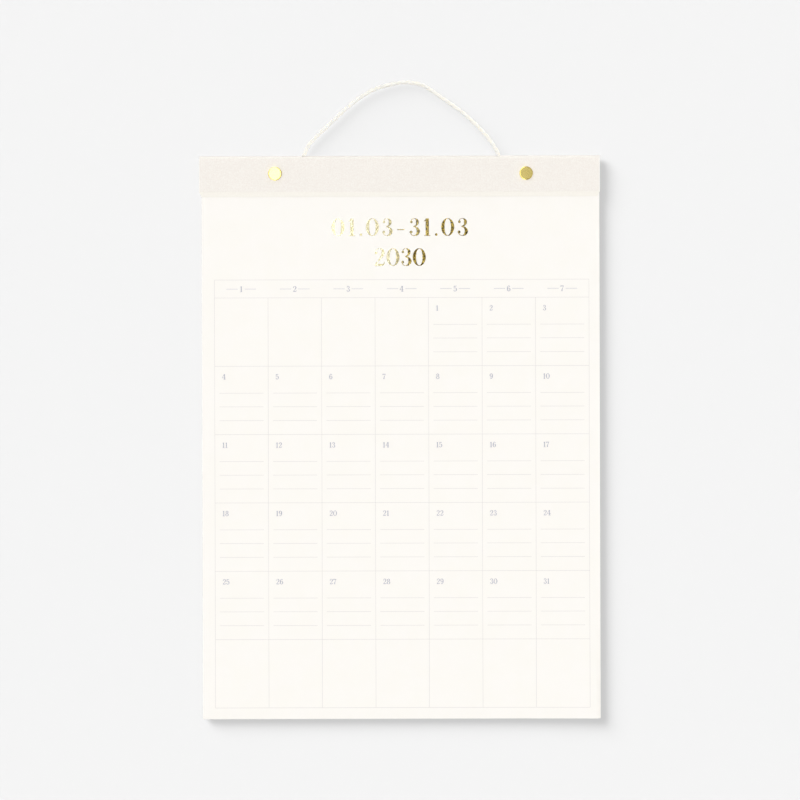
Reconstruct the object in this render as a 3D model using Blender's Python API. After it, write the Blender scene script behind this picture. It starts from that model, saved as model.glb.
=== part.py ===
"""Wall calendar, A3: twelve month sheets and a backing board, held in a folded header by two brass posts.

Frame: metres, +Z up, +X to the right as the calendar is read, and the printed side faces -Y.
The origin is the point where a nail or hook carries the calendar, under the top of its cord's arch.
The header is one strip of card, faced with linen, folded over the top of the sheets and pared thin at
its hem. A cotton cord goes in through two holes in the fold, and a knot on each end, flat between the
leaves, holds it there.
"""

import math

import bmesh
import bpy
import numpy as np
from mathutils import Matrix, Vector

# Sheets and backing board
SHEET_WIDTH = 0.297
SHEET_HEIGHT = 0.4126
SHEET_THICKNESS = 0.0002
SHEET_COUNT = 12
STACK_SHIFT = 0.0007  # the sheets and the holes lie this far to the right of the header's middle
SHORT_SHEETS = 2  # the front sheets that end short of the ones behind at their right edge
SHORT_STEP = 0.00115  # from one short sheet's edge to the next
BOARD_THICKNESS = 0.0018

# Header: a strip of card folded over the sheets, with linen on its outer face
HOOK_DROP = 0.0534  # from the hook down to the top of the fold
HEADER_WIDTH = 0.299
HEADER_HEIGHT = 0.0307
CARD_THICKNESS = 0.0006
LINEN_THICKNESS = 0.0002
FOLD_RADIUS = 0.003  # outer, at the top of either leaf
HEM_HEIGHT = 0.0035  # bare card below the linen
HEM_EDGE = 0.0003  # what is left of the card where the hem is pared down
HEM_CORNER = 0.0017  # how far the hem's corners are cut back
FOLD_SPACE = 0.008  # from the top of the fold down to the sheets

# Binding posts and their screws
POST_SPACING = 0.1874
POST_DROP = 0.0136  # below the top of the fold
HEAD_DIAMETER = 0.0102
HEAD_THICKNESS = 0.0012
HEAD_EDGE_RADIUS = 0.0007
BARREL_DIAMETER = 0.005
BORE_DIAMETER = 0.0036
SHANK_DIAMETER = 0.003
SHANK_LENGTH = 0.0055
SLOT_WIDTH = 0.0012
SLOT_DEPTH = 0.0006

# Cord, its two holes and its stopper knots
CORD_DIAMETER = 0.003
CORD_HOLE_SPACING = 0.1452
CORD_HOLE_DIAMETER = 0.005
KNOT_WIDTH = 0.0092

# Clearances
SEAT_GAP = 0.0003  # between pieces that lie on each other
HOLE_CLEARANCE = 0.0003  # round a barrel, and round a shank in its bore
CUT_PAST = 0.001  # how far a cutter runs past what it cuts

ROUND_STEPS = 48  # sides of a full turn
CORNER_STEPS = 6  # sides of a quarter turn in a fold
CORD_POINT_SPACING = 2.2  # in cord diameters

# The cord's middle line from the left knot to the right one, as (x, z): an arch over the hook
CORD_ROUTE = [
    (-0.0717, -0.0540),
    (-0.0713, -0.0524),
    (-0.0703, -0.0499),
    (-0.0665, -0.0436),
    (-0.0565, -0.0336),
    (-0.0472, -0.0249),
    (-0.0384, -0.0167),
    (-0.0277, -0.0087),
    (-0.0163, -0.0027),
    (-0.0024, 0.0008),
    (0.0046, 0.0015),
    (0.0120, 0.0008),
    (0.0198, -0.0018),
    (0.0320, -0.0102),
    (0.0466, -0.0206),
    (0.0592, -0.0322),
    (0.0676, -0.0418),
    (0.0727, -0.0498),
    (0.0740, -0.0528),
    (0.0741, -0.0540),
]

COVER_THICKNESS = CARD_THICKNESS + LINEN_THICKNESS
BLOCK_DEPTH = SHEET_COUNT * SHEET_THICKNESS
HOLLOW_DEPTH = BLOCK_DEPTH + BOARD_THICKNESS + 3 * SEAT_GAP
HALF_DEPTH = HOLLOW_DEPTH / 2 + COVER_THICKNESS
FOLD_TOP = -HOOK_DROP
SHEET_TOP = FOLD_TOP - FOLD_SPACE
POST_HEIGHT = FOLD_TOP - POST_DROP
POST_HOLE_DIAMETER = BARREL_DIAMETER + 2 * HOLE_CLEARANCE
SIDES = {"left": -1, "right": 1}


def clear_scene():
    for obj in list(bpy.data.objects):
        bpy.data.objects.remove(obj, do_unlink=True)


def material(name, display_colour, roughness, metallic=0.0):
    """A Principled material from a colour as a screen shows it, 0 to 255 a channel."""
    shares = np.array(display_colour) / 255
    linear = np.where(shares > 0.04045, ((shares + 0.055) / 1.055) ** 2.4, shares / 12.92)
    made = bpy.data.materials.new(name)
    made.use_nodes = True
    shader = made.node_tree.nodes["Principled BSDF"]
    shader.inputs["Base Color"].default_value = (*linear, 1)
    shader.inputs["Roughness"].default_value = roughness
    shader.inputs["Metallic"].default_value = metallic
    return made


def add_object(name, bm, finish=None, smooth_below=None):
    """Puts a bmesh into the scene with its faces outwards, shaded smooth below an angle in degrees."""
    bmesh.ops.recalc_face_normals(bm, faces=bm.faces)
    mesh = bpy.data.meshes.new(name)
    bm.to_mesh(mesh)
    bm.free()
    if smooth_below is not None:
        mesh.shade_smooth()
        mesh.set_sharp_from_angle(angle=math.radians(smooth_below))
    obj = bpy.data.objects.new(name, mesh)
    bpy.context.collection.objects.link(obj)
    if finish:
        mesh.materials.append(finish)
    return obj


def add_prism(bm, outline, along):
    """Sweeps a closed outline, a list of points in one plane, straight along a vector."""
    face = bm.faces.new([bm.verts.new(point) for point in outline])
    swept = bmesh.ops.extrude_face_region(bm, geom=[face])
    moved = [item for item in swept["geom"] if isinstance(item, bmesh.types.BMVert)]
    bmesh.ops.translate(bm, verts=moved, vec=along)


def add_rod(bm, centre, axis, diameter, length):
    """A round rod about a centre, along a unit axis."""
    turn = Vector((0, 0, 1)).rotation_difference(Vector(axis)).to_matrix().to_4x4()
    bmesh.ops.create_cone(
        bm,
        cap_ends=True,
        segments=ROUND_STEPS,
        radius1=diameter / 2,
        radius2=diameter / 2,
        depth=length,
        matrix=Matrix.Translation(centre) @ turn,
    )


def cut(obj, bm, name):
    """Cuts a bmesh out of an object, which keeps the cutter as a hidden helper."""
    cutter = add_object(name, bm)
    cutter.hide_render = True
    cutter.display_type = "WIRE"
    boolean = obj.modifiers.new(name, "BOOLEAN")
    boolean.operation = "DIFFERENCE"
    boolean.solver = "EXACT"
    boolean.object = cutter


def arc(centre, radius, start, end, steps):
    """Points round a centre, from one angle to another in degrees."""
    angles = np.radians(np.linspace(start, end, steps + 1))
    return [(centre[0] + radius * math.cos(a), centre[1] + radius * math.sin(a)) for a in angles]


def post_places():
    return [(side, STACK_SHIFT + sign * POST_SPACING / 2) for side, sign in SIDES.items()]


def cord_hole_places():
    return [(side, STACK_SHIFT + sign * CORD_HOLE_SPACING / 2) for side, sign in SIDES.items()]


def add_post_holes(bm, depth):
    """Rods for the two post holes, through everything to this depth on either side of the middle."""
    for _, x in post_places():
        add_rod(bm, (x, 0, POST_HEIGHT), (0, 1, 0), POST_HOLE_DIAMETER, 2 * (depth + CUT_PAST))


def header_section():
    """The folded strip's section in the YZ plane: the outer face over the fold, and the inner back.

    Below the linen, the bare card's face slopes in to the hem's pared edge.
    """
    bottom = FOLD_TOP - HEADER_HEIGHT
    linen_edge = bottom + HEM_HEIGHT
    card_face = HALF_DEPTH - LINEN_THICKNESS
    fold_centre = FOLD_TOP - FOLD_RADIUS
    outer = [(HOLLOW_DEPTH / 2 + HEM_EDGE, bottom)]
    outer += arc((card_face, linen_edge + LINEN_THICKNESS), LINEN_THICKNESS, -90, 0, CORNER_STEPS // 2)
    outer += arc((HALF_DEPTH - FOLD_RADIUS, fold_centre), FOLD_RADIUS, 0, 90, CORNER_STEPS)
    inner_radius = FOLD_RADIUS - COVER_THICKNESS
    inner = arc((HALF_DEPTH - FOLD_RADIUS, fold_centre), inner_radius, 90, 0, CORNER_STEPS)
    inner += [(HOLLOW_DEPTH / 2, bottom)]
    mirrored_outer = [(-y, z) for y, z in reversed(outer)]
    mirrored_inner = [(-y, z) for y, z in reversed(inner)]
    return outer + mirrored_outer + mirrored_inner + inner


def make_header(finish):
    """The section swept from end to end, with holes for posts and cord, and its hem's corners cut."""
    bm = bmesh.new()
    end = -HEADER_WIDTH / 2
    add_prism(bm, [(end, y, z) for y, z in header_section()], (HEADER_WIDTH, 0, 0))
    header = add_object("header_cover", bm, finish, smooth_below=35)

    cutter = bmesh.new()
    add_post_holes(cutter, HALF_DEPTH)
    punch_depth = FOLD_RADIUS + CUT_PAST
    for _, x in cord_hole_places():
        centre = (x, 0, FOLD_TOP + CUT_PAST / 2 - FOLD_RADIUS / 2)
        add_rod(cutter, centre, (0, 0, 1), CORD_HOLE_DIAMETER, punch_depth)
    bottom = FOLD_TOP - HEADER_HEIGHT
    near = -HALF_DEPTH - CUT_PAST
    slope = HEM_CORNER / HEM_HEIGHT
    for sign in SIDES.values():
        side = sign * HEADER_WIDTH / 2
        past_side = side + sign * CUT_PAST
        corner = [
            (side, near, bottom + HEM_HEIGHT),
            (side - sign * (HEM_CORNER + slope * CUT_PAST), near, bottom - CUT_PAST),
            (past_side, near, bottom - CUT_PAST),
            (past_side, near, bottom + HEM_HEIGHT),
        ]
        add_prism(cutter, corner, (0, 2 * (HALF_DEPTH + CUT_PAST), 0))
    cut(header, cutter, "header_cutter")


def make_sheets(finish):
    """The month sheets as one block, seen from above: the front ones step back at the right edge."""
    front = -HOLLOW_DEPTH / 2 + SEAT_GAP
    back = front + BLOCK_DEPTH
    left = STACK_SHIFT - SHEET_WIDTH / 2
    right = STACK_SHIFT + SHEET_WIDTH / 2
    outline = [(left, front)]
    for place in range(SHORT_SHEETS):
        edge = right - (SHORT_SHEETS - place) * SHORT_STEP
        outline += [(edge, front + place * SHEET_THICKNESS), (edge, front + (place + 1) * SHEET_THICKNESS)]
    outline += [(right, front + SHORT_SHEETS * SHEET_THICKNESS), (right, back), (left, back)]
    bm = bmesh.new()
    foot = SHEET_TOP - SHEET_HEIGHT
    add_prism(bm, [(x, y, foot) for x, y in outline], (0, 0, SHEET_HEIGHT))
    block = add_object("sheet_block", bm, finish)
    holes = bmesh.new()
    add_post_holes(holes, HALF_DEPTH)
    cut(block, holes, "sheet_cutter")


def make_board(finish):
    """The stiff board behind the sheets, cut to their size."""
    back = HOLLOW_DEPTH / 2 - SEAT_GAP
    left = STACK_SHIFT - SHEET_WIDTH / 2
    foot = SHEET_TOP - SHEET_HEIGHT
    corners = [
        (left, back, foot),
        (left + SHEET_WIDTH, back, foot),
        (left + SHEET_WIDTH, back, SHEET_TOP),
        (left, back, SHEET_TOP),
    ]
    bm = bmesh.new()
    add_prism(bm, corners, (0, -BOARD_THICKNESS, 0))
    board = add_object("backing_board", bm, finish)
    holes = bmesh.new()
    add_post_holes(holes, HALF_DEPTH)
    cut(board, holes, "board_cutter")


def turned(name, profile, finish):
    """Turns a closed (radius, y) outline round the Y axis. Its first and last points lie on the axis."""
    bm = bmesh.new()
    verts = [bm.verts.new((radius, y, 0)) for radius, y in profile]
    edges = [bm.edges.new(pair) for pair in zip(verts, verts[1:])]
    bmesh.ops.spin(
        bm,
        geom=verts + edges,
        cent=(0, 0, 0),
        axis=(0, 1, 0),
        angle=math.tau,
        steps=ROUND_STEPS,
    )
    bmesh.ops.remove_doubles(bm, verts=bm.verts, dist=1e-6)
    return add_object(name, bm, finish, smooth_below=30)


def head_rim(face, inward):
    """A head's edge as (radius, y): rounded at its outer face, square where it bears on the header."""
    rim = HEAD_DIAMETER / 2 - HEAD_EDGE_RADIUS
    steps = np.radians(np.linspace(90, 0, CORNER_STEPS + 1))
    rounded = [
        (rim + HEAD_EDGE_RADIUS * math.cos(a), face + inward * HEAD_EDGE_RADIUS * (1 - math.sin(a)))
        for a in steps
    ]
    return rounded + [(HEAD_DIAMETER / 2, face + inward * HEAD_THICKNESS)]


def make_post(side, x, finish):
    """A plain front head with its hollow barrel, which runs back through every layer."""
    face = -HALF_DEPTH - SEAT_GAP - HEAD_THICKNESS
    barrel_end = HALF_DEPTH - SEAT_GAP
    bore_floor = face + HEAD_THICKNESS
    profile = [(0, face)] + head_rim(face, 1)
    profile += [
        (BARREL_DIAMETER / 2, bore_floor),
        (BARREL_DIAMETER / 2, barrel_end),
        (BORE_DIAMETER / 2, barrel_end),
        (BORE_DIAMETER / 2, bore_floor),
        (0, bore_floor),
    ]
    post = turned(f"binding_post_{side}", profile, finish)
    post.location = (x, 0, POST_HEIGHT)


def make_screw(side, x, finish):
    """A slotted head at the back, whose shank goes into the post's bore."""
    face = HALF_DEPTH + SEAT_GAP + HEAD_THICKNESS
    under_head = face - HEAD_THICKNESS
    profile = [(0, face)] + head_rim(face, -1)
    profile += [
        (SHANK_DIAMETER / 2, under_head),
        (SHANK_DIAMETER / 2, under_head - SHANK_LENGTH),
        (0, under_head - SHANK_LENGTH),
    ]
    screw = turned(f"binding_screw_{side}", profile, finish)
    half_width = SLOT_WIDTH / 2
    reach = HEAD_DIAMETER / 2 + CUT_PAST
    slot = bmesh.new()
    corners = [(-half_width, -reach), (half_width, -reach), (half_width, reach), (-half_width, reach)]
    floor = face - SLOT_DEPTH
    add_prism(slot, [(across, floor, along) for across, along in corners], (0, SLOT_DEPTH + CUT_PAST, 0))
    cut(screw, slot, f"slot_cutter_{side}")
    bpy.data.objects[f"slot_cutter_{side}"].parent = screw
    screw.location = (x, 0, POST_HEIGHT)


def smooth_route(points, spacing):
    """Reads a smooth curve through the points at an even spacing.

    Between two points the curve is a cubic whose slopes come from the neighbours on either side.
    """
    given = np.array(points)
    ends = [2 * given[0] - given[1], 2 * given[-1] - given[-2]]
    padded = np.vstack([ends[0], given, ends[1]])
    share = np.linspace(0, 1, 24, endpoint=False)[:, None]
    stretches = []
    for before, here, after, beyond in zip(padded, padded[1:], padded[2:], padded[3:]):
        slope = (after - before) / 2
        bend = before - 2.5 * here + 2 * after - beyond / 2
        twist = (beyond - before) / 2 + 1.5 * (here - after)
        stretches.append(here + slope * share + bend * share**2 + twist * share**3)
    fine = np.vstack([*stretches, given[-1]])
    lengths = np.concatenate([[0], np.cumsum(np.linalg.norm(np.diff(fine, axis=0), axis=1))])
    count = round(lengths[-1] / spacing) + 1
    wanted = np.linspace(0, lengths[-1], count)
    return np.stack([np.interp(wanted, lengths, fine[:, axis]) for axis in (0, 1)], axis=1)


def make_cord(finish):
    """The cord as a round tube from the left hole in the fold, over the hook, to the right one."""
    points = smooth_route(CORD_ROUTE, CORD_POINT_SPACING * CORD_DIAMETER)
    curve = bpy.data.curves.new("hanging_cord", "CURVE")
    curve.dimensions = "3D"
    curve.bevel_depth = CORD_DIAMETER / 2
    curve.bevel_resolution = 2
    curve.use_fill_caps = True
    spline = curve.splines.new("POLY")
    spline.points.add(len(points) - 1)
    for point, (x, z) in zip(spline.points, points):
        point.co = (x, 0, z, 1)
    curve.materials.append(finish)
    cord = bpy.data.objects.new("hanging_cord", curve)
    bpy.context.collection.objects.link(cord)


def make_knot(side, x, finish):
    """A stopper knot, pressed flat between the leaves, just under the fold and over the sheets."""
    height = FOLD_SPACE - COVER_THICKNESS - 2 * SEAT_GAP
    depth = HOLLOW_DEPTH - 2 * SEAT_GAP
    bm = bmesh.new()
    bmesh.ops.create_uvsphere(bm, u_segments=24, v_segments=14, radius=0.5)
    bmesh.ops.scale(bm, verts=bm.verts, vec=(KNOT_WIDTH, depth, height))
    knot = add_object(f"cord_knot_{side}", bm, finish, smooth_below=60)
    knot.location = (x, 0, SHEET_TOP + SEAT_GAP + height / 2)


def main():
    clear_scene()
    linen = material("linen on card", (246, 241, 234), 0.85)
    paper = material("cream paper", (254, 250, 244), 0.8)
    greyboard = material("grey backing board", (176, 168, 156), 0.9)
    brass = material("polished brass", (214, 184, 108), 0.22, metallic=1.0)
    cotton = material("cream cotton cord", (243, 239, 229), 0.9)
    make_header(linen)
    make_sheets(paper)
    make_board(greyboard)
    for side, x in post_places():
        make_post(side, x, brass)
        make_screw(side, x, brass)
    make_cord(cotton)
    for side, x in cord_hole_places():
        make_knot(side, x, cotton)


main()
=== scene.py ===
"""The looks of a wall calendar: month sheets in a linen header, brass posts, a cotton cord and the print.

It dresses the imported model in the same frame, in metres: +X to the right as the calendar is read, +Z up,
and the printed side faces -Y. The origin is the point where a nail or hook carries the cord.
"""

import math

import bmesh
import bpy
import numpy as np
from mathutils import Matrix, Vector
from mathutils.geometry import delaunay_2d_cdt


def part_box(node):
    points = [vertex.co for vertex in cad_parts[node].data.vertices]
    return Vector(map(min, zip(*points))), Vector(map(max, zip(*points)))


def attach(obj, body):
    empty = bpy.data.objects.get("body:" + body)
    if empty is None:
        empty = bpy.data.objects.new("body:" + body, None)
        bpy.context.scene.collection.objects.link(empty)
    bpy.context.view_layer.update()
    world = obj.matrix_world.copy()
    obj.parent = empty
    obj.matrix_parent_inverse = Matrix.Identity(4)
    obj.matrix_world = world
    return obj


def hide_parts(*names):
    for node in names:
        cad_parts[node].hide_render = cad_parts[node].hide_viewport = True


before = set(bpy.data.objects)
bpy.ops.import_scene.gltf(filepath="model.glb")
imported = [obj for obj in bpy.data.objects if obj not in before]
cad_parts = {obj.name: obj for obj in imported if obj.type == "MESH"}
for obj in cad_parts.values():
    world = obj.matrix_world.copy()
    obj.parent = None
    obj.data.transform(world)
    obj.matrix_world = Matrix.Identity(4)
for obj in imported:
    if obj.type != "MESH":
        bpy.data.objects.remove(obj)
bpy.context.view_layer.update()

# Camera. It looks straight at the calendar along +Y, as the photograph does, with the hair of a turn
# that the photograph has. The frame's width takes in the sheets, the cord and a margin of wall.
CAMERA_DISTANCE = 1.5
SENSOR_WIDTH = 0.036
FRAME_WIDTH = 0.5982
FRAME_CENTRE_X = -0.0001
FRAME_CENTRE_Z = -0.236
CAMERA_ROLL = math.radians(0.15)

eye = bpy.data.cameras.new("camera")
eye.sensor_width = 1000 * SENSOR_WIDTH
eye.lens = 1000 * SENSOR_WIDTH * CAMERA_DISTANCE / FRAME_WIDTH
camera = bpy.data.objects.new("camera", eye)
camera.location = (FRAME_CENTRE_X, -CAMERA_DISTANCE, FRAME_CENTRE_Z)
camera.rotation_euler = (math.pi / 2, CAMERA_ROLL, 0)
bpy.context.collection.objects.link(camera)
bpy.context.scene.camera = camera


# The hanging cord. Three plies of cream cotton, laid up to the right, run from one hole in the header's
# fold over the hook to the other, stiff enough to stand in an arch.
CORD_DIAMETER = 0.003
CORD_LAY = 0.018  # along the cord, for one full turn of a ply
GROOVE_DEPTH = 0.26  # of the radius, between two plies
PLIES = 3
CORD_RING = 36  # points round the cord
CORD_STEP = 0.0004
CURVE_PARTS = 40  # between two points of a route, before it is read at an even spacing
CORD_ROUTE = [
    (-0.0717, -0.0540),
    (-0.0713, -0.0524),
    (-0.0703, -0.0499),
    (-0.0665, -0.0436),
    (-0.0565, -0.0336),
    (-0.0472, -0.0249),
    (-0.0384, -0.0167),
    (-0.0277, -0.0087),
    (-0.0163, -0.0027),
    (-0.0024, 0.0008),
    (0.0046, 0.0015),
    (0.0120, 0.0008),
    (0.0198, -0.0018),
    (0.0320, -0.0102),
    (0.0466, -0.0206),
    (0.0592, -0.0322),
    (0.0676, -0.0418),
    (0.0727, -0.0498),
    (0.0740, -0.0528),
    (0.0741, -0.0540),
]


def display(red, green, blue):
    """A colour as a screen shows it, 0 to 255 a channel, as the linear colour that a shader takes."""
    shares = np.array((red, green, blue)) / 255
    linear = np.where(shares > 0.04045, ((shares + 0.055) / 1.055) ** 2.4, shares / 12.92)
    return (*linear.tolist(), 1.0)


def add_mesh(name, points, faces, finish, smooth=True):
    """A mesh piece from an array of points and a list of faces, with its faces turned outwards."""
    mesh = bpy.data.meshes.new(name)
    mesh.from_pydata(points.tolist(), [], faces)
    bm = bmesh.new()
    bm.from_mesh(mesh)
    bmesh.ops.recalc_face_normals(bm, faces=bm.faces)
    bm.to_mesh(mesh)
    bm.free()
    mesh.polygons.foreach_set("use_smooth", np.full(len(mesh.polygons), smooth))
    mesh.materials.append(finish)
    piece = bpy.data.objects.new(name, mesh)
    bpy.context.collection.objects.link(piece)
    return piece


def curve_between(padded, parts):
    """A smooth curve through all the points but the first and the last: between two points it is a
    cubic whose slopes come from the neighbours on either side."""
    before, here, after, beyond = (padded[i : len(padded) - 3 + i, None] for i in range(4))
    share = np.linspace(0, 1, parts, endpoint=False)[None, :, None]
    slope = (after - before) / 2
    bend = before - 2.5 * here + 2 * after - beyond / 2
    twist = (beyond - before) / 2 + 1.5 * (here - after)
    return (here + slope * share + bend * share**2 + twist * share**3).reshape(-1, padded.shape[1])


def smooth_through(points, spacing):
    """The smooth curve through the points, read at an even spacing, and the length up to each place."""
    given = np.array(points, float)
    padded = np.vstack([2 * given[0] - given[1], given, 2 * given[-1] - given[-2]])
    fine = np.vstack([curve_between(padded, CURVE_PARTS), given[-1]])
    lengths = np.concatenate([[0], np.cumsum(np.linalg.norm(np.diff(fine, axis=0), axis=1))])
    wanted = np.linspace(0, lengths[-1], max(2, round(lengths[-1] / spacing) + 1))
    return np.stack([np.interp(wanted, lengths, column) for column in fine.T], axis=1), wanted


def plied_tube(name, path, lengths, radius, finish):
    """A laid cord: round the path, the radius is that of three plies side by side,
    R * (1 - groove * (1 - |cos(1.5 * (angle - turn))|)), and the turn grows along the path."""
    ahead = np.gradient(path, axis=0)
    ahead /= np.linalg.norm(ahead, axis=1)[:, None]
    across = np.cross(ahead, (0, 1, 0))
    across /= np.linalg.norm(across, axis=1)[:, None]
    outward = np.cross(across, ahead)
    angle = np.linspace(0, math.tau, CORD_RING, endpoint=False)[None, :]
    turn = (math.tau * lengths / CORD_LAY)[:, None]
    lobes = np.abs(np.cos(PLIES / 2 * (angle - turn)))
    reach = radius * (1 - GROOVE_DEPTH * (1 - lobes))
    points = (
        path[:, None]
        + (reach * np.cos(angle))[..., None] * across[:, None]
        + (reach * np.sin(angle))[..., None] * outward[:, None]
    )
    rings = len(path)
    number = np.arange(rings * CORD_RING).reshape(rings, CORD_RING)
    beside = np.roll(number, -1, axis=1)
    quads = np.stack([number[:-1], beside[:-1], beside[1:], number[1:]], axis=-1).reshape(-1, 4)
    faces = quads.tolist() + [number[0, ::-1].tolist(), number[-1].tolist()]
    piece = add_mesh(name, points.reshape(-1, 3), faces, finish)
    uv = piece.data.uv_layers.new(name="UVMap")
    corner = np.empty(len(piece.data.loops), np.int32)
    piece.data.loops.foreach_get("vertex_index", corner)
    around = corner % CORD_RING / CORD_RING
    along = lengths[corner // CORD_RING] / CORD_LAY
    uv.data.foreach_set("uv", np.stack([around, along], axis=1).astype(np.float32).ravel())
    return piece


def add_node(tree, kind, inputs=(), **settings):
    """A shader node with its settings, whose inputs are given as values or as other nodes' outputs."""
    made = tree.nodes.new(f"ShaderNode{kind}")
    for name, value in settings.items():
        setattr(made, name, value)
    for name, value in dict(inputs).items():
        if isinstance(value, bpy.types.NodeSocket):
            tree.links.new(value, made.inputs[name])
        else:
            made.inputs[name].default_value = value
    return made


def new_finish(name, roughness, metallic=0.0, sheen=0.0, specular=0.5):
    """A material with its Principled shader, ready for a colour and a bump."""
    made = bpy.data.materials.new(name)
    made.use_nodes = True
    shader = made.node_tree.nodes["Principled BSDF"]
    shader.inputs["Roughness"].default_value = roughness
    shader.inputs["Metallic"].default_value = metallic
    shader.inputs["Sheen Weight"].default_value = sheen
    shader.inputs["Specular IOR Level"].default_value = specular
    return made, made.node_tree, shader


def maths(tree, operation, first, second=0.0):
    """One sum on two values or outputs."""
    return add_node(tree, "Math", {0: first, 1: second}, operation=operation).outputs[0]


def ramp(tree, value, low, high, from_colour, to_colour):
    """A colour that goes from one to another as a value goes from low to high."""
    share = add_node(
        tree, "MapRange", {"Value": value, "From Min": low, "From Max": high}, interpolation_type="SMOOTHSTEP"
    )
    mixed = add_node(tree, "Mix", data_type="RGBA")
    tree.links.new(share.outputs[0], mixed.inputs[0])
    for place, colour in ((6, from_colour), (7, to_colour)):
        if isinstance(colour, bpy.types.NodeSocket):
            tree.links.new(colour, mixed.inputs[place])
        else:
            mixed.inputs[place].default_value = colour
    return mixed.outputs[2]


def cotton_finish():
    """Fine fibres that run along the plies. Some of the light goes a little way into the cotton."""
    made, tree, shader = new_finish("cream cotton", roughness=0.9, sheen=0.02, specular=0.1)
    shader.inputs["Subsurface Weight"].default_value = 0.6
    shader.inputs["Subsurface Radius"].default_value = (1.0, 0.95, 0.85)
    shader.inputs["Subsurface Scale"].default_value = 0.001
    uv = add_node(tree, "TexCoord").outputs["UV"]
    stretched = add_node(tree, "Mapping", {"Vector": uv, "Scale": (34, 9, 1)}).outputs[0]
    fibres = add_node(tree, "TexNoise", {"Vector": stretched, "Scale": 1.0, "Detail": 4.0}).outputs["Fac"]
    colour = ramp(tree, fibres, 0.3, 0.7, display(243, 240, 232), display(250, 247, 240))
    tree.links.new(colour, shader.inputs["Base Color"])
    bump = add_node(tree, "Bump", {"Height": fibres, "Strength": 0.3, "Distance": 0.0001})
    tree.links.new(bump.outputs[0], shader.inputs["Normal"])
    return made


cotton = cotton_finish()
flat_route, cord_lengths = smooth_through(CORD_ROUTE, CORD_STEP)
cord_path = np.stack([flat_route[:, 0], np.zeros(len(flat_route)), flat_route[:, 1]], axis=1)
cord = plied_tube("laid_cord", cord_path, cord_lengths, CORD_DIAMETER / 2, cotton)
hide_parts("hanging_cord")
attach(cord, "root")


# The stopper knots. The cord's two ends are tied in overhand knots inside the fold, where the header's
# leaves press them flat, so their plies are squeezed thinner than the free cord.
PRESSED_RADIUS = 0.00098
KNOT_OPENING = 0.3  # radians left open at the top of the loop, where the two ends come out
KNOT_POINTS = 60
KNOT_STEP = 0.0003


def tied_knot(side):
    """An overhand knot: the path (sin t + 2 sin 2t, sin 3t, 2 cos 2t - cos t), pressed into the CAD
    knot's box, from the cord's end all the way round to a short tail."""
    low, high = (np.array(corner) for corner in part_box(f"cord_knot_{side}"))
    t = np.linspace(math.pi + KNOT_OPENING, 3 * math.pi - KNOT_OPENING, KNOT_POINTS)
    loop = np.stack([np.sin(t) + 2 * np.sin(2 * t), np.sin(3 * t), 2 * np.cos(2 * t) - np.cos(t)], axis=1)
    least, most = loop.min(0), loop.max(0)
    room = high - low - 2 * PRESSED_RADIUS
    loop = low + PRESSED_RADIUS + (loop - least) / (most - least) * room
    path, lengths = smooth_through(loop, KNOT_STEP)
    knot = plied_tube(f"overhand_knot_{side}", path, lengths, PRESSED_RADIUS, cotton)
    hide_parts(f"cord_knot_{side}")
    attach(knot, "root")
    return knot


knots = [tied_knot(side) for side in ("left", "right")]


# The month sheets. Twelve sheets of smooth cream paper, jogged up at the left and bound at the top. The
# two in front end short at the right edge, and the lower right corners of three stand off a little.
SHEET_COUNT = 12
PAPER_THICKNESS = 0.00017
SHORT_SHEETS = 2
SHORT_STEP = 0.00115
LOOSE_CUT = 0.00012  # how far one sheet's edge may fall short of the next
LOOSE_SEED = 12
CORNER_LIFT = 0.0016
CORNER_REACH_X = 0.11
CORNER_REACH_Z = 0.16
LIFTED_SHEETS = 3
SHEET_COLUMNS = 60
SHEET_ROWS = 84
POST_HOLE_RADIUS = 0.0028
PUNCH_LENGTH = 0.02
PUNCH_SIDES = 32

block_low, block_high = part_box("sheet_block")
sheet_pitch = (block_high.y - block_low.y) / SHEET_COUNT
post_places = [
    (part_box(f"binding_post_{side}")[0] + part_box(f"binding_post_{side}")[1]) / 2 for side in ("left", "right")
]


def sheet_front(x, z, place=0):
    """Where the face of one sheet lies: flat, but for the lower right corner, which stands off by
    lift * across^2 * down^2, where across and down go from 0 to 1 over the corner."""
    across = np.clip((x - block_high.x + CORNER_REACH_X) / CORNER_REACH_X, 0, 1)
    down = np.clip((block_low.z + CORNER_REACH_Z - z) / CORNER_REACH_Z, 0, 1)
    lift = CORNER_LIFT * max(0, 1 - place / LIFTED_SHEETS)
    return block_low.y + place * sheet_pitch - lift * across**2 * down**2


def sheet_arrays(place, cut_short):
    """One sheet as a closed thin solid: its front and back on the same grid, joined round the edge."""
    lifted = place < LIFTED_SHEETS
    columns, rows = (SHEET_COLUMNS, SHEET_ROWS) if lifted else (1, 1)
    right = block_high.x - max(0, SHORT_SHEETS - place) * SHORT_STEP - cut_short[0]
    left = block_low.x + cut_short[1]
    foot = block_low.z + cut_short[2]
    x, z = np.meshgrid(np.linspace(left, right, columns + 1), np.linspace(foot, block_high.z, rows + 1))
    front = np.stack([x, sheet_front(x, z, place), z], axis=-1).reshape(-1, 3)
    points = np.vstack([front, front + (0, PAPER_THICKNESS, 0)])
    number = np.arange((rows + 1) * (columns + 1)).reshape(rows + 1, columns + 1)
    quads = np.stack([number[:-1, :-1], number[:-1, 1:], number[1:, 1:], number[1:, :-1]], axis=-1)
    quads = quads.reshape(-1, 4)
    rim = np.concatenate([number[0], number[1:, -1], number[-1, -2::-1], number[-2:0:-1, 0]])
    after = np.roll(rim, -1)
    behind = len(front)
    walls = np.stack([rim, after, after + behind, rim + behind], axis=1)
    return points, np.vstack([quads, quads[:, ::-1] + behind, walls])


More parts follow.
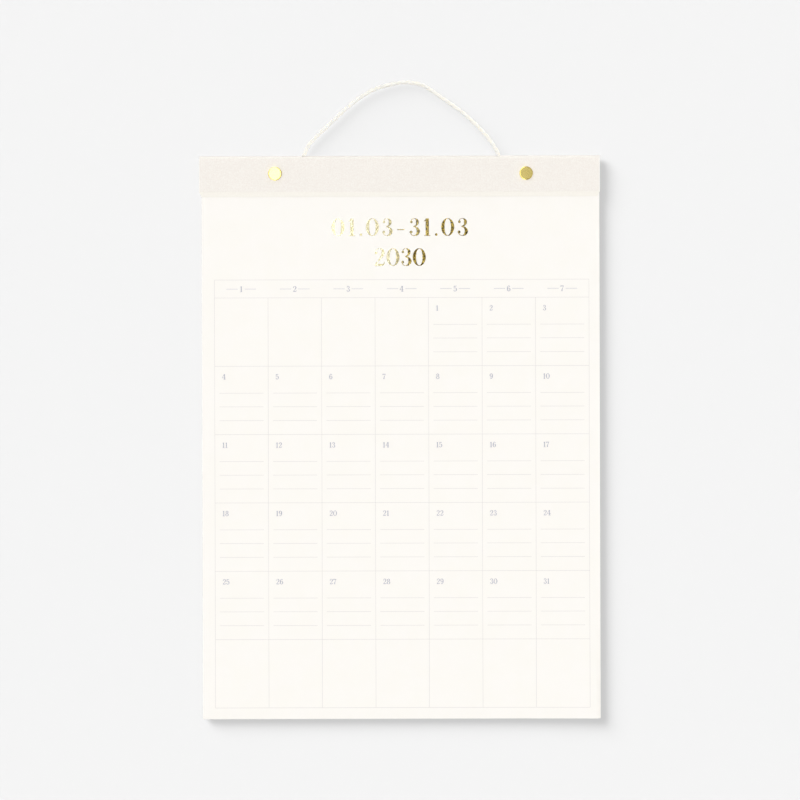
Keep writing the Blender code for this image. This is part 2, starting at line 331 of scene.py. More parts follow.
def paper_finish():
    """Smooth uncoated paper: a faint cloudiness in its cream, and a fine tooth."""
    made, tree, shader = new_finish("cream paper", roughness=0.75, specular=0.25)
    place = add_node(tree, "TexCoord").outputs["Object"]
    cloud = add_node(tree, "TexNoise", {"Vector": place, "Scale": 60.0, "Detail": 3.0}).outputs["Fac"]
    colour = ramp(tree, cloud, 0.3, 0.7, display(253, 250, 244), display(254, 251, 246))
    tree.links.new(colour, shader.inputs["Base Color"])
    tooth = add_node(tree, "TexNoise", {"Vector": place, "Scale": 3500.0, "Detail": 2.0}).outputs["Fac"]
    bump = add_node(tree, "Bump", {"Height": tooth, "Strength": 0.15, "Distance": 0.00005})
    tree.links.new(bump.outputs[0], shader.inputs["Normal"])
    return made


def make_sheets():
    """The stack, sheet behind sheet, each cut a hair differently, with the two post holes punched through."""
    draw = np.random.default_rng(LOOSE_SEED)
    points, faces, count = [], [], 0
    for place in range(SHEET_COUNT):
        cut_short = draw.uniform(0, LOOSE_CUT, 3)
        sheet_points, sheet_faces = sheet_arrays(place, cut_short)
        points.append(sheet_points)
        faces += (sheet_faces + count).tolist()
        count += len(sheet_points)
    sheets = add_mesh("month_sheets", np.vstack(points), faces, paper_finish(), smooth=False)
    punch = bmesh.new()
    for post in post_places:
        pin = bmesh.ops.create_cone(
            punch,
            cap_ends=True,
            segments=PUNCH_SIDES,
            radius1=POST_HOLE_RADIUS,
            radius2=POST_HOLE_RADIUS,
            depth=PUNCH_LENGTH,
        )
        for vert in pin["verts"]:
            vert.co = (vert.co.x + post.x, vert.co.z, vert.co.y + post.z)
    bmesh.ops.recalc_face_normals(punch, faces=punch.faces)
    punch_mesh = bpy.data.meshes.new("punch")
    punch.to_mesh(punch_mesh)
    punch.free()
    tool = bpy.data.objects.new("punch", punch_mesh)
    bpy.context.collection.objects.link(tool)
    boolean = sheets.modifiers.new("holes", "BOOLEAN")
    boolean.operation = "DIFFERENCE"
    boolean.object = tool
    evaluated = sheets.evaluated_get(bpy.context.evaluated_depsgraph_get())
    punched = bpy.data.meshes.new_from_object(evaluated)
    sheets.modifiers.clear()
    sheets.data = punched
    bpy.data.objects.remove(tool)
    return sheets


month_sheets = make_sheets()
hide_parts("sheet_block")
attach(month_sheets, "root")


# The backing board. Grey recycled board, cut to the sheets' size, with the flecks of its pulp in view.
def greyboard_finish():
    """Grey pulp, cloudy, with dark flecks and a few pale fibres pressed into it."""
    made, tree, shader = new_finish("greyboard", roughness=0.9, specular=0.2)
    place = add_node(tree, "TexCoord").outputs["Object"]
    pulp = add_node(tree, "TexNoise", {"Vector": place, "Scale": 520.0, "Detail": 5.0, "Roughness": 0.7})
    cloud = add_node(tree, "TexNoise", {"Vector": place, "Scale": 110.0, "Detail": 5.0}).outputs["Fac"]
    fibre = add_node(tree, "TexNoise", {"Vector": place, "Scale": 2600.0, "Detail": 2.0}).outputs["Fac"]
    ground = ramp(tree, cloud, 0.35, 0.65, display(171, 165, 153), display(177, 170, 159))
    flecked = ramp(tree, pulp.outputs["Fac"], 0.38, 0.3, ground, display(122, 116, 106))
    colour = ramp(tree, fibre, 0.62, 0.72, flecked, display(206, 200, 188))
    tree.links.new(colour, shader.inputs["Base Color"])
    bump = add_node(tree, "Bump", {"Height": pulp.outputs["Fac"], "Strength": 0.5, "Distance": 0.0001})
    tree.links.new(bump.outputs[0], shader.inputs["Normal"])
    return made


def refinish(node, finish):
    """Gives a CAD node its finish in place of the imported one."""
    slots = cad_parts[node].data.materials
    slots.clear()
    slots.append(finish)


refinish("backing_board", greyboard_finish())


# The header. One strip of cream card, faced with fine linen down to its hem, creased and folded over the
# sheets. The bare card shows at the hem, inside the fold and on the cut edges.
THREAD = 0.00056  # from one thread of the linen to the next
THREAD_WANDER = 0.35  # of that, how far a thread strays from its row
THREAD_STRETCH = 0.06  # how much slower a thread changes along its length than across it
HEM_HEIGHT = 0.0035
LINEN_THICKNESS = 0.0002
FOLD_RADIUS = 0.003
PALE_EDGE = 0.0006  # how far in from a cut edge the linen turns pale

header_low, header_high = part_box("header_cover")


def linen_finish():
    """Linen, woven over and under, where the card is faced with it, and bare card everywhere else. The
    weave's colour darkens down the sides of each thread: painted shade in the weave's hollows.
    """
    made, tree, shader = new_finish("linen on card", roughness=0.85, sheen=0.03, specular=0.2)
    place = add_node(tree, "TexCoord").outputs["Object"]
    axes = add_node(tree, "SeparateXYZ", {0: place}).outputs
    over_fold = maths(tree, "ADD", axes["Z"], axes["Y"])

    def threads(across, along):
        """Threads side by side, each a rounded ridge that wanders and swells along its length."""
        stretch = add_node(tree, "CombineXYZ", {0: maths(tree, "MULTIPLY", along, THREAD_STRETCH), 1: across})
        uneven = add_node(tree, "TexNoise", {"Vector": stretch.outputs[0], "Scale": 2400.0, "Detail": 2.0})
        wander = uneven.outputs["Fac"]
        shifted = maths(tree, "ADD", across, maths(tree, "MULTIPLY", wander, THREAD_WANDER * THREAD))
        wave = maths(tree, "SINE", maths(tree, "MULTIPLY", shifted, math.pi / THREAD))
        return maths(tree, "MULTIPLY", maths(tree, "ABSOLUTE", wave), maths(tree, "ADD", wander, 0.4)), wave

    warp, warp_side = threads(axes["X"], over_fold)
    weft, weft_side = threads(over_fold, axes["X"])
    above = maths(tree, "MULTIPLY", warp_side, weft_side)
    lift = add_node(tree, "MapRange", {"Value": above, "From Min": -0.3, "From Max": 0.3}).outputs[0]
    crossing = add_node(tree, "Mix", {0: lift, 2: warp, 3: weft}, data_type="FLOAT").outputs[0]

    speck = add_node(tree, "TexNoise", {"Vector": place, "Scale": 1100.0, "Detail": 3.0}).outputs["Fac"]
    # painted shade: the weave's colour follows the threads' height, darker in the hollows between them, on top
    # of the threads' own uneven tone
    woven = ramp(tree, crossing, 0.2, 0.9, display(239, 231.5, 224), display(254, 249.5, 242.5))
    flecked = ramp(tree, speck, 0.35, 0.85, woven, display(254.5, 251, 244.5))

    # how far a point lies from the middle of the fold, round it and down either leaf
    flat_half = header_high.y - FOLD_RADIUS
    depth = maths(tree, "MAXIMUM", maths(tree, "SUBTRACT", maths(tree, "ABSOLUTE", axes["Y"]), flat_half))
    rise = maths(tree, "MAXIMUM", maths(tree, "SUBTRACT", axes["Z"], header_high.z - FOLD_RADIUS))
    round_fold = add_node(tree, "CombineXYZ", {0: depth, 1: rise}).outputs[0]
    reach = add_node(tree, "VectorMath", {0: round_fold}, operation="LENGTH").outputs["Value"]
    outside = maths(tree, "GREATER_THAN", reach, FOLD_RADIUS - 0.7 * LINEN_THICKNESS)
    above_hem = maths(tree, "GREATER_THAN", axes["Z"], header_low.z + HEM_HEIGHT - 0.2 * LINEN_THICKNESS)
    faced = maths(tree, "MULTIPLY", outside, above_hem)
    from_end = maths(tree, "SUBTRACT", header_high.x, maths(tree, "ABSOLUTE", axes["X"]))
    # the linen turns paler towards the cut ends of the strip
    paled_at_ends = ramp(tree, from_end, 0.0, PALE_EDGE, display(253, 250, 245), flecked)
    bare = ramp(tree, speck, 0.3, 0.7, display(249, 245, 236), display(252, 248, 240))
    colour = ramp(tree, faced, 0.0, 1.0, bare, paled_at_ends)
    tree.links.new(colour, shader.inputs["Base Color"])
    height = maths(tree, "MULTIPLY", crossing, faced)
    bump = add_node(tree, "Bump", {"Height": height, "Strength": 0.6, "Distance": 0.00012})
    tree.links.new(bump.outputs[0], shader.inputs["Normal"])
    return made


refinish("header_cover", linen_finish())


# The binding posts and their screws. Turned brass, polished and lacquered, with plain heads in front and
# slotted ones at the back. Each head sits a little off square, so the two catch different parts of the room.
HEAD_LEAN = -0.0746  # the slope of a head at the middle of the header
HEAD_LEAN_GROWTH = 0.659  # its growth for each metre to the right
POLISH_DEPTH = 0.00001  # how deep the polishing left its marks


def brass_finish():
    """Lacquered brass. The bump's height is the lean's slope times x, so it turns a whole head alike."""
    made, tree, shader = new_finish("lacquered brass", roughness=0.2, metallic=1.0)
    place = add_node(tree, "TexCoord").outputs["Object"]
    axes = add_node(tree, "SeparateXYZ", {0: place}).outputs
    polish = add_node(tree, "TexNoise", {"Vector": place, "Scale": 1500.0, "Detail": 3.0}).outputs["Fac"]
    colour = ramp(tree, polish, 0.3, 0.7, display(222, 200, 104), display(232, 210, 118))
    tree.links.new(colour, shader.inputs["Base Color"])
    shader.inputs["Coat Weight"].default_value = 1.0
    shader.inputs["Coat Roughness"].default_value = 0.25
    shader.inputs["Coat IOR"].default_value = 1.7
    slope = maths(tree, "ADD", maths(tree, "MULTIPLY", axes["X"], -HEAD_LEAN_GROWTH / 2), -HEAD_LEAN)
    lean = maths(tree, "MULTIPLY", slope, axes["X"])
    height = maths(tree, "ADD", lean, maths(tree, "MULTIPLY", polish, POLISH_DEPTH))
    bump = add_node(tree, "Bump", {"Height": height, "Strength": 1.0, "Distance": 1.0})
    tree.links.new(bump.outputs[0], shader.inputs["Normal"])
    return made


brass = brass_finish()
for side in ("left", "right"):
    refinish(f"binding_post_{side}", brass)
    refinish(f"binding_screw_{side}", brass)


# The printed grid. Fine lines in a pale warm grey: seven columns, a row of heads and six weeks, and three
# writing lines in every cell that has a date.
INK_PROUD = 0.00002  # how far the ink stands off the paper
INK_SUNK = 0.00001  # and how far it goes in
LINE_WIDTH = 0.00026
GRID_LEFT = -0.1384
GRID_TOP = -0.1461
COLUMN_WIDTH = 0.03994
COLUMNS = 7
HEADS_HEIGHT = 0.0134
WEEK_HEIGHT = 0.05102
WEEKS = 6
FIRST_COLUMN = 4  # where the first date stands, counted from 0
DAYS = 31
WRITING_LINES = (0.0201, 0.0303, 0.0406)  # below the top of the cell
WRITING_INSET = 0.0035
STRIP_PARTS = 40  # along a line, so that it follows the lifted corner


def strips(name, ends, width, finish):
    """Printed lines on the top sheet: each is a thin closed bar along a row or a column, whose face
    follows the sheet's."""
    ends = np.array(ends)
    start, stop = ends[:, None, :2], ends[:, None, 2:]
    share = np.linspace(0, 1, STRIP_PARTS + 1)[None, :, None]
    middle = start + (stop - start) * share
    run = stop - start
    run = run / np.linalg.norm(run, axis=-1, keepdims=True)
    side = np.stack([-run[..., 1], run[..., 0]], axis=-1) * width / 2
    corners = np.stack([middle - side, middle + side, middle + side, middle - side], axis=2)
    depth = np.array([-INK_PROUD, -INK_PROUD, INK_SUNK, INK_SUNK])
    y = sheet_front(corners[..., 0], corners[..., 1]) + depth
    points = np.stack([corners[..., 0], y, corners[..., 1]], axis=-1)
    number = np.arange(points.size // 3).reshape(points.shape[:3])
    beside = np.roll(number, -1, axis=2)
    bars = np.stack([number[:, :-1], beside[:, :-1], beside[:, 1:], number[:, 1:]], axis=-1).reshape(-1, 4)
    faces = np.vstack([bars, number[:, 0, ::-1], number[:, -1]])
    piece = add_mesh(name, points.reshape(-1, 3), faces.tolist(), finish, smooth=False)
    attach(piece, "root")
    return piece


def ink_finish(name, low, high):
    """Printing ink that the paper has taken up a little unevenly."""
    made, tree, shader = new_finish(name, roughness=0.8, specular=0.2)
    place = add_node(tree, "TexCoord").outputs["Object"]
    uptake = add_node(tree, "TexNoise", {"Vector": place, "Scale": 1800.0, "Detail": 3.0}).outputs["Fac"]
    tree.links.new(ramp(tree, uptake, 0.3, 0.7, low, high), shader.inputs["Base Color"])
    return made


line_ink = ink_finish("pale grey ink", display(220, 216, 214), display(230, 226, 223))
number_ink = ink_finish("lavender grey ink", display(184, 182, 193), display(202, 200, 209))
grid_right = GRID_LEFT + COLUMNS * COLUMN_WIDTH
heads_foot = GRID_TOP - HEADS_HEIGHT
grid_foot = heads_foot - WEEKS * WEEK_HEIGHT
column_lines = [
    (x, GRID_TOP if edge else heads_foot, x, grid_foot)
    for x, edge in ((GRID_LEFT + c * COLUMN_WIDTH, c in (0, COLUMNS)) for c in range(COLUMNS + 1))
]
row_heights = [GRID_TOP] + [heads_foot - week * WEEK_HEIGHT for week in range(WEEKS + 1)]
row_lines = [(GRID_LEFT, z, grid_right, z) for z in row_heights]
strips("printed_grid", column_lines + row_lines, LINE_WIDTH, line_ink)

cells = [divmod(FIRST_COLUMN + day, COLUMNS) for day in range(DAYS)]
writing = [
    (
        GRID_LEFT + column * COLUMN_WIDTH + WRITING_INSET,
        heads_foot - week * WEEK_HEIGHT - drop,
        GRID_LEFT + (column + 1) * COLUMN_WIDTH - WRITING_INSET,
        heads_foot - week * WEEK_HEIGHT - drop,
    )
    for week, column in cells
    for drop in WRITING_LINES
]
strips("writing_lines", writing, LINE_WIDTH, line_ink)


# The printed figures. Plain numerals cut with thick stems, hairlines and ball ends: a date in each cell,
# and a number for each weekday between two short rules.
THICK = 0.19  # a stem and a hairline, for each unit of a figure's height
THIN = 0.034
RING_POINTS = 16


def ring(x, y, half_width, half_height):
    """A closed stroke round a centre, thick at its sides and thin at top and bottom."""
    angle = np.linspace(0, math.tau, RING_POINTS, endpoint=False)
    weight = THIN + (THICK - THIN) * np.abs(np.cos(angle)) ** 1.6
    return [(x + half_width * math.cos(a), y + half_height * math.sin(a), w) for a, w in zip(angle, weight)]


# Each figure is one high: its width, its strokes as (x, y, weight) along the pen's path, its closed
# strokes, and its balls as (x, y, radius)
SIX = (
    0.66,
    [[(0.51, 0.83, 0.05), (0.45, 0.94, 0.045), (0.36, 0.98, 0.05), (0.19, 0.84, 0.13),
      (0.115, 0.52, 0.19), (0.14, 0.22, 0.15), (0.33, 0.02, 0.034)]],
    [ring(0.34, 0.31, 0.21, 0.29)],
    [(0.49, 0.82, 0.075)],
)
FIGURES = {
    "0": (0.75, [], [ring(0.375, 0.5, 0.275, 0.483)], []),
    "1": (
        0.50,
        [[(0.26, 0.0, THICK), (0.26, 0.99, THICK)], [(0.08, 0.017, THIN), (0.44, 0.017, THIN)],
         [(0.07, 0.83, 0.034), (0.16, 0.88, 0.06), (0.26, 0.955, 0.07)]],
        [],
        [],
    ),
    "2": (
        0.66,
        [[(0.10, 0.74, 0.05), (0.16, 0.91, 0.045), (0.33, 0.983, 0.034), (0.495, 0.90, 0.13),
          (0.535, 0.74, 0.185), (0.47, 0.55, 0.15), (0.27, 0.30, 0.075), (0.075, 0.06, 0.05)],
         [(0.06, 0.05, 0.10), (0.20, 0.065, 0.13), (0.42, 0.06, 0.12), (0.565, 0.09, 0.07),
          (0.605, 0.25, 0.03)]],
        [],
        [(0.135, 0.75, 0.08)],
    ),
    "3": (
        0.62,
        [[(0.10, 0.79, 0.05), (0.16, 0.93, 0.04), (0.31, 0.983, 0.034), (0.445, 0.90, 0.12),
          (0.475, 0.76, 0.17), (0.42, 0.61, 0.09), (0.25, 0.535, 0.034)],
         [(0.25, 0.535, 0.034), (0.43, 0.46, 0.10), (0.525, 0.28, 0.19), (0.455, 0.09, 0.13),
          (0.29, 0.017, 0.034), (0.14, 0.07, 0.045), (0.08, 0.21, 0.05)]],
        [],
        [(0.13, 0.79, 0.072), (0.115, 0.22, 0.08)],
    ),
    "4": (
        0.72,
        [[(0.47, 0.0, THICK), (0.47, 1.0, THICK)], [(0.40, 0.985, 0.04), (0.045, 0.30, 0.04)],
         [(0.03, 0.30, 0.045), (0.69, 0.30, 0.045)], [(0.29, 0.017, THIN), (0.65, 0.017, THIN)]],
        [],
        [],
    ),
    "5": (
        0.63,
        [[(0.10, 0.92, 0.13), (0.30, 0.915, 0.13), (0.45, 0.94, 0.09), (0.52, 0.99, 0.03)],
         [(0.105, 0.985, THIN), (0.105, 0.50, THIN)],
         [(0.105, 0.51, 0.034), (0.18, 0.60, 0.045), (0.31, 0.64, 0.05), (0.465, 0.55, 0.14),
          (0.525, 0.33, 0.19), (0.45, 0.10, 0.12), (0.28, 0.017, 0.034), (0.13, 0.07, 0.045),
          (0.08, 0.2, 0.05)]],
        [],
        [(0.115, 0.21, 0.08)],
    ),
    "6": SIX,
    "7": (
        0.60,
        [[(0.05, 0.92, 0.15), (0.30, 0.92, 0.14), (0.55, 0.93, 0.13)],
         [(0.035, 0.995, 0.03), (0.035, 0.74, 0.03)],
         [(0.55, 0.97, 0.05), (0.42, 0.66, 0.08), (0.29, 0.32, 0.16), (0.26, 0.0, 0.2)]],
        [],
        [],
    ),
    "8": (0.66, [], [ring(0.33, 0.755, 0.18, 0.228), ring(0.33, 0.27, 0.225, 0.253)], []),
    "9": (
        SIX[0],
        [[(0.66 - x, 1 - y, w) for x, y, w in stroke] for stroke in SIX[1]],
        [[(0.66 - x, 1 - y, w) for x, y, w in stroke] for stroke in SIX[2]],
        [(0.66 - x, 1 - y, r) for x, y, r in SIX[3]],
    ),
    ".": (0.24, [], [], [(0.12, 0.075, 0.075)]),
    "-": (0.62, [[(0.10, 0.36, 0.06), (0.52, 0.36, 0.06)]], [], []),
}


def stroke_quads(stroke, closed, parts, thinnest):
    """The pen's path as a chain of quads, half the weight to either side of a smooth curve."""
    given = np.array(stroke)
    given[:, 2] = np.maximum(given[:, 2], thinnest)
    if closed:
        given = np.vstack([given[-1], given, given[:2]])
    else:
        given = np.vstack([2 * given[0] - given[1], given, 2 * given[-1] - given[-2]])
    curve = curve_between(given, parts if len(stroke) > 2 else 1)
    curve = np.vstack([curve, curve[0] if closed else given[-2]])
    ahead = np.gradient(curve[:, :2], axis=0)
    if closed:
        ahead[0] = ahead[-1] = curve[1, :2] - curve[-2, :2]
    ahead /= np.linalg.norm(ahead, axis=1)[:, None]
    side = np.stack([-ahead[:, 1], ahead[:, 0]], axis=1) * curve[:, 2:] / 2
    left, right = curve[:, :2] + side, curve[:, :2] - side
    return np.stack([left[:-1], right[:-1], right[1:], left[1:]], axis=1)


def figure_arrays(character, parts, thinnest):
    """A figure's points and triangles: its strokes and balls merged into one flat shape."""
    _, strokes, closed_strokes, balls = FIGURES[character]
    quads = [stroke_quads(s, False, parts, thinnest) for s in strokes]
    quads += [stroke_quads(s, True, parts, thinnest) for s in closed_strokes]
    polygons = [quad for chain in quads for quad in chain]
    angle = np.linspace(0, math.tau, 4 * parts, endpoint=False)
    for x, y, radius in balls:
        polygons.append(np.stack([x + radius * np.cos(angle), y + radius * np.sin(angle)], axis=1))
    corners = np.vstack(polygons)
    ends = np.cumsum([len(p) for p in polygons])
    faces = [list(range(end - len(p), end)) for end, p in zip(ends, polygons)]
    merged = delaunay_2d_cdt([tuple(c) for c in corners], [], faces, 0, 1e-5)
    points = np.array([tuple(p) for p in merged[0]])
    triangles = np.array([f for f, came_from in zip(merged[2], merged[5]) if came_from])
    used, index = np.unique(triangles, return_inverse=True)
    return points[used], index.reshape(-1, 3)


def plain_width(text, height):
    """How wide a line of figures is with no space between them."""
    return height * sum(FIGURES[c][0] for c in text)


def figures(name, lines, finish, parts, thinnest=THIN):
    """Figures on the top sheet, each line given as (text, left end, foot, height, spacing). A figure's
    flat shape becomes a thin closed solid, whose face follows the sheet's."""
    shapes = {c: figure_arrays(c, parts, thinnest) for c in sorted({c for line in lines for c in line[0]})}
    points, faces, count = [], [], 0
    for text, x, foot, height, spacing in lines:
        for character in text:
            flat, triangles = shapes[character]
            across, up = x + flat[:, 0] * height, foot + flat[:, 1] * height
            y = sheet_front(across, up)
            front = np.stack([across, y - INK_PROUD, up], axis=1)
            points += [front, front + (0, INK_PROUD + INK_SUNK, 0)]
            edges = np.concatenate([triangles[:, [0, 1]], triangles[:, [1, 2]], triangles[:, [2, 0]]])
            turned = edges[:, ::-1]
            known = set(map(tuple, turned.tolist()))
            rim = np.array([e for e in edges.tolist() if tuple(e) not in known])
            behind = len(front)
            walls = np.column_stack([rim[:, ::-1], rim + behind])
            for part in (triangles, triangles[:, ::-1] + behind, walls):
                faces += (part + count).tolist()
            count += 2 * behind
            x += height * (FIGURES[character][0] + spacing)
    piece = add_mesh(name, np.vstack(points), faces, finish, smooth=False)
    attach(piece, "root")
    return piece


DATE_HEIGHT = 0.0039
DATE_INSET = 0.0055
DATE_DROP = 0.0059  # below the top of the cell
DATE_SPACING = 0.04
HEAD_FIGURE_HEIGHT = 0.0042
HEAD_FOOT = 0.0045  # above the foot of the heads' row
SMALL_THIN = 0.085  # the thinnest stroke of a small figure, for each unit of its height
SMALL_PARTS = 4  # along each bend of a small figure's strokes
RULE_LENGTH = 0.0085
RULE_GAP = 0.0026

dates = [
    (
        str(day + 1),
        GRID_LEFT + column * COLUMN_WIDTH + DATE_INSET,
        heads_foot - week * WEEK_HEIGHT - DATE_DROP - DATE_HEIGHT,
        DATE_HEIGHT,
        DATE_SPACING,
    )
    for day, (week, column) in enumerate(cells)
]
column_middles = [GRID_LEFT + (c + 0.5) * COLUMN_WIDTH for c in range(COLUMNS)]
weekdays = [
    (
        number,
        middle - plain_width(number, HEAD_FIGURE_HEIGHT) / 2,
        heads_foot + HEAD_FOOT,
        HEAD_FIGURE_HEIGHT,
        0,
    )
    for number, middle in zip("1234567", column_middles)
]
figures("printed_dates", dates, number_ink, SMALL_PARTS, SMALL_THIN)
figures("weekday_numbers", weekdays, number_ink, SMALL_PARTS, SMALL_THIN)
rule_height = heads_foot + HEAD_FOOT + HEAD_FIGURE_HEIGHT / 2
rules = [
    (middle + way * RULE_GAP, rule_height, middle + way * (RULE_GAP + RULE_LENGTH), rule_height)
    for middle in column_middles
    for way in (-1, 1)
]
strips("weekday_rules", rules, LINE_WIDTH, number_ink)


# The foil title. Plain figures stamped in gold foil: the days that the sheet covers, and the year. The
# foil has broken up a little over the paper's tooth, and the bow of the sheet sweeps its shine across. Its
# colour adds a painted reflection: a painted pale highlight at the left end of a line, deep gold at the right.
TITLE_HEIGHT = 0.0132
TITLE_LINES = (  # name, figures, foot and width
    ("foil_days", "01.03-31.03", -0.1135, 0.102),
    ("foil_year", "2030", -0.1359, 0.039),
)
TITLE_PARTS = 8
FOIL_BOW = 0.05  # slope of the foil at either end of a line
FOIL_TOOTH = 0.00014  # how deep the paper's tooth dents the foil
FOIL_PAINTED_SHINE_SWEEP = (-0.5, 0.6)  # where the painted pale highlight ends and the deep gold begins, in shares of half a line


def foil_finish(name, half):
    """Gold foil on paper: specks of the paper's tooth break it up, and its colour is a painted reflection
    along the line, from a painted pale highlight at one end to a deep gold at the other."""
    made, tree, shader = new_finish(name, roughness=0.22, metallic=1.0)
    place = add_node(tree, "TexCoord").outputs["Object"]
    axes = add_node(tree, "SeparateXYZ", {0: place}).outputs
    tooth = add_node(tree, "TexNoise", {"Vector": place, "Scale": 1050.0, "Detail": 1.0, "Roughness": 0.6})
    grain = tooth.outputs["Fac"]
    # painted reflection: the pale colour is a painted highlight on the left of a line, and the ramp along X
    # below sweeps it into the deep gold
    pale = ramp(tree, grain, 0.4, 0.6, display(188, 181, 144), display(210, 204, 176))
    deep = ramp(tree, grain, 0.43, 0.57, display(86, 66, 10), display(230, 206, 118))
    colour = ramp(tree, axes["X"], FOIL_PAINTED_SHINE_SWEEP[0] * half, FOIL_PAINTED_SHINE_SWEEP[1] * half, pale, deep)
    tree.links.new(colour, shader.inputs["Base Color"])
    bow = maths(tree, "MULTIPLY", maths(tree, "MULTIPLY", axes["X"], axes["X"]), -FOIL_BOW / half / 2)
    height = maths(tree, "ADD", bow, maths(tree, "MULTIPLY", grain, FOIL_TOOTH))
    bump = add_node(tree, "Bump", {"Height": height, "Strength": 1.0, "Distance": 1.0})
    tree.links.new(bump.outputs[0], shader.inputs["Normal"])
    return made


for name, text, foot, width in TITLE_LINES:
    spacing = (width - plain_width(text, TITLE_HEIGHT)) / TITLE_HEIGHT / (len(text) - 1)
    line = (text, -width / 2, foot, TITLE_HEIGHT, spacing)
    figures(name, [line], foil_finish(name.replace("_", " "), width / 2), TITLE_PARTS)


# The wall that the calendar hangs on, the floor far below it, and the light. The wall glows evenly, and two
# soft lamps of its own, from the upper left, give it the calendar's shadow and the cord's fainter one. The
# calendar has a key from the same side, and a soft lamp each for its front, top, side and back.
WALL_GAP = 0.0004
WALL_COLOUR = display(245, 245, 245)
WALL_MATT = 0.06  # how much of the light that falls on the wall it gives back
WALL_SHADE = 0.276  # the share of the wall's paleness that its lamp gives, and the shadow takes away
CORD_SHADE = 0.22  # the same for the cord's shadow
WALL_REACH = 3
WALL_TOP = 2
FLOOR_HEIGHT = -1.6
FLOOR_REACH = 4
FLOOR_GLOW = 0.86
LAMP_TRAVEL = (1.16, 1.0, -1.02)
ROOM_LEVEL = 0.4  # how much light comes evenly from all round
MIRRORED_MIDDLE = 0.85  # how bright the room is in the foil and the brass, straight in front of them
MIRRORED_FALL = 5.8  # how fast it falls off from the window on the left to the right
WINDOW_WAY = -0.31  # the X of the way out to the window's brightest place
PAST_WINDOW = (-0.5, -0.34, 0.2, 1.0)  # the X of two ways out, and the share of the window's light at each
RIGHT_SIDE = (0.25, 0.5, 0.35, 0.8)  # the X of two ways out to the right, and the level at each
BEHIND_WAY = 0.1  # the Y of a way out, past which it goes behind the calendar


def stage_sheet(name, corners, glow, matt, one_sided):
    """A plain flat sheet of the room. The wall is seen from its front only, and shades nothing, so that
    the calendar's back can be looked at through it."""
    made = bpy.data.materials.new(name)
    made.use_nodes = True
    tree = made.node_tree
    tree.nodes.clear()
    tint = np.array(WALL_COLOUR[:3])
    lit = add_node(tree, "BsdfDiffuse", {"Color": (*(matt * tint).tolist(), 1)}).outputs[0]
    glowing = add_node(tree, "Emission", {"Color": WALL_COLOUR, "Strength": glow}).outputs[0]
    surface = add_node(tree, "AddShader", {0: lit, 1: glowing}).outputs[0]
    if one_sided:
        back = add_node(tree, "NewGeometry").outputs["Backfacing"]
        clear = add_node(tree, "BsdfTransparent").outputs[0]
        surface = add_node(tree, "MixShader", {0: back, 1: surface, 2: clear}).outputs[0]
    add_node(tree, "OutputMaterial", {0: surface})
    mesh = bpy.data.meshes.new(name)
    mesh.from_pydata(corners, [], [(0, 1, 2, 3)])
    mesh.materials.append(made)
    sheet = bpy.data.objects.new(name, mesh)
    bpy.context.collection.objects.link(sheet)
    return sheet


def rectangle(reach, low, high):
    """The four corners of a sheet that reaches as far to the left as to the right."""
    return [(-reach, low), (reach, low), (reach, high), (-reach, high)]


wall_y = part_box("binding_screw_left")[1].y + WALL_GAP
wall = stage_sheet(
    "wall",
    [(x, wall_y, z) for x, z in rectangle(WALL_REACH, FLOOR_HEIGHT, WALL_TOP)],
    glow=1 - WALL_SHADE - CORD_SHADE - WALL_MATT * ROOM_LEVEL,
    matt=WALL_MATT,
    one_sided=True,
)
wall.visible_shadow = wall.visible_glossy = False
floor = stage_sheet(
    "floor",
    [(x, y, FLOOR_HEIGHT) for x, y in rectangle(FLOOR_REACH, -FLOOR_REACH, FLOOR_REACH)],
    glow=FLOOR_GLOW,
    matt=WALL_MATT,
    one_sided=False,
)
floor.visible_diffuse = floor.visible_glossy = False

# for each lamp, the way its light travels, its strength on a face square to it, its spread in degrees, the
# pieces that it lights alone or leaves out, and the pieces that shade it alone or not at all
LAMPS = {
    "wall_light": (LAMP_TRAVEL, 8.48, 35, {wall: "INCLUDE"}, {cord: "EXCLUDE"}),
    "cord_shadow_light": (LAMP_TRAVEL, 6.75, 60, {wall: "INCLUDE"}, {cord: "INCLUDE"}),
    "key_light": (LAMP_TRAVEL, 0.12, 30, {wall: "EXCLUDE"}, {}),
    "front_light": ((0.12, 1.0, 0.05), 0.53, 12, {wall: "EXCLUDE"}, {}),
    "top_light": ((0.1, 0.05, -1.0), 0.15, 20, {wall: "EXCLUDE"}, {}),
    "side_light": ((-1.0, -0.03, -0.06), 0.34, 16, {wall: "EXCLUDE"}, {}),
    "back_light": ((0.15, -1.0, -0.1), 0.37, 16, {wall: "EXCLUDE", cord: "EXCLUDE"}, {}),
}


def linked(name, states):
    """A collection of the pieces that a lamp takes in or leaves out."""
    group = bpy.data.collections.new(name)
    for piece, state in states.items():
        group.objects.link(piece)
        group.collection_objects[-1].light_linking.link_state = state
    return group


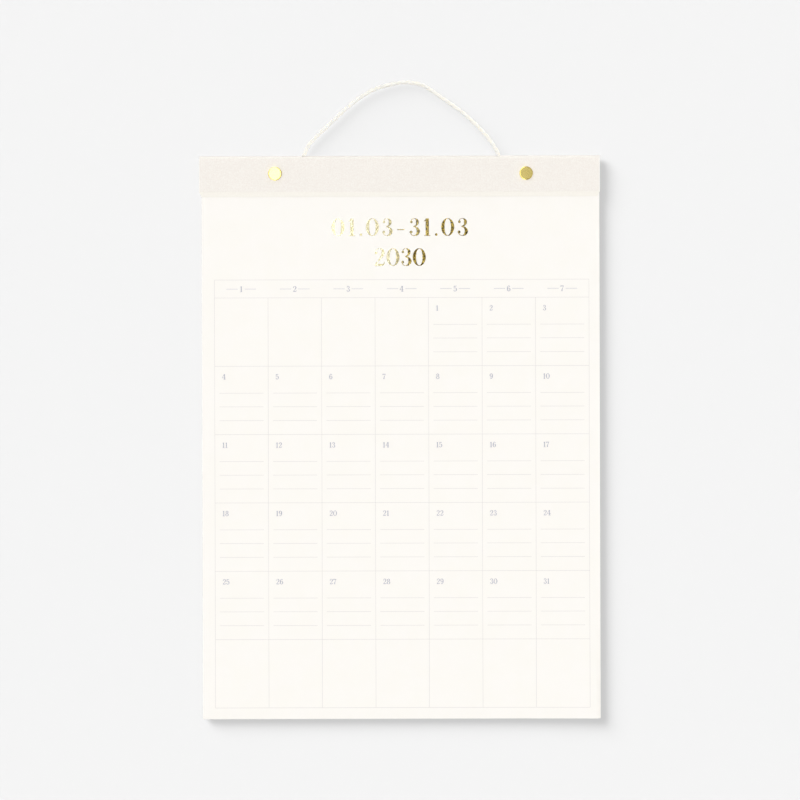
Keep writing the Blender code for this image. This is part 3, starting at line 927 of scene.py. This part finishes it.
for name, (travel, strength, spread, lit, shading) in LAMPS.items():
    light = bpy.data.lights.new(name, "SUN")
    light.energy = strength * math.pi
    light.angle = math.radians(spread)
    lamp = bpy.data.objects.new(name, light)
    lamp.rotation_euler = Vector(travel).to_track_quat("-Z", "Y").to_euler()
    lamp.visible_glossy = name == "key_light"
    bpy.context.collection.objects.link(lamp)
    lamp.light_linking.receiver_collection = linked(f"lit_by_{name}", lit)
    if shading:
        lamp.light_linking.blocker_collection = linked(f"shading_{name}", shading)

# the pale room all round, of which the foil and the brass mirror a window on the left and a pale right side
world = bpy.data.worlds.new("pale room")
bpy.context.scene.world = world
world.use_nodes = True
room = world.node_tree
room.nodes.clear()
way_out = add_node(room, "SeparateXYZ", {0: add_node(room, "TexCoord").outputs["Generated"]}).outputs


def side_to_side(x_from, x_to, level_from, level_to):
    """A level that changes evenly between two ways out, told by their X."""
    limits = {"From Min": x_from, "From Max": x_to, "To Min": level_from, "To Max": level_to}
    return add_node(room, "MapRange", {"Value": way_out["X"], **limits}).outputs[0]


fall = maths(room, "MULTIPLY", maths(room, "MAXIMUM", way_out["X"], WINDOW_WAY), -MIRRORED_FALL)
window = maths(room, "MULTIPLY", maths(room, "EXPONENT", fall), side_to_side(*PAST_WINDOW))
behind = maths(room, "GREATER_THAN", way_out["Y"], BEHIND_WAY)
around = maths(room, "MAXIMUM", behind, side_to_side(*RIGHT_SIDE))
mirrored = maths(room, "MULTIPLY", maths(room, "MAXIMUM", window, around), MIRRORED_MIDDLE)
soft = add_node(room, "Background", {"Strength": ROOM_LEVEL, "Color": (1, 1, 1, 1)}).outputs[0]
shining = add_node(room, "Background", {"Strength": mirrored, "Color": (1, 1, 1, 1)}).outputs[0]
seen = add_node(room, "Background", {"Strength": 1.0, "Color": WALL_COLOUR}).outputs[0]
ray = add_node(room, "LightPath").outputs
unseen = add_node(room, "MixShader", {0: ray["Is Glossy Ray"], 1: soft, 2: shining}).outputs[0]
either = add_node(room, "MixShader", {0: ray["Is Camera Ray"], 1: unseen, 2: seen}).outputs[0]
add_node(room, "OutputWorld", {0: either})

bpy.context.scene.view_settings.view_transform = "Standard"
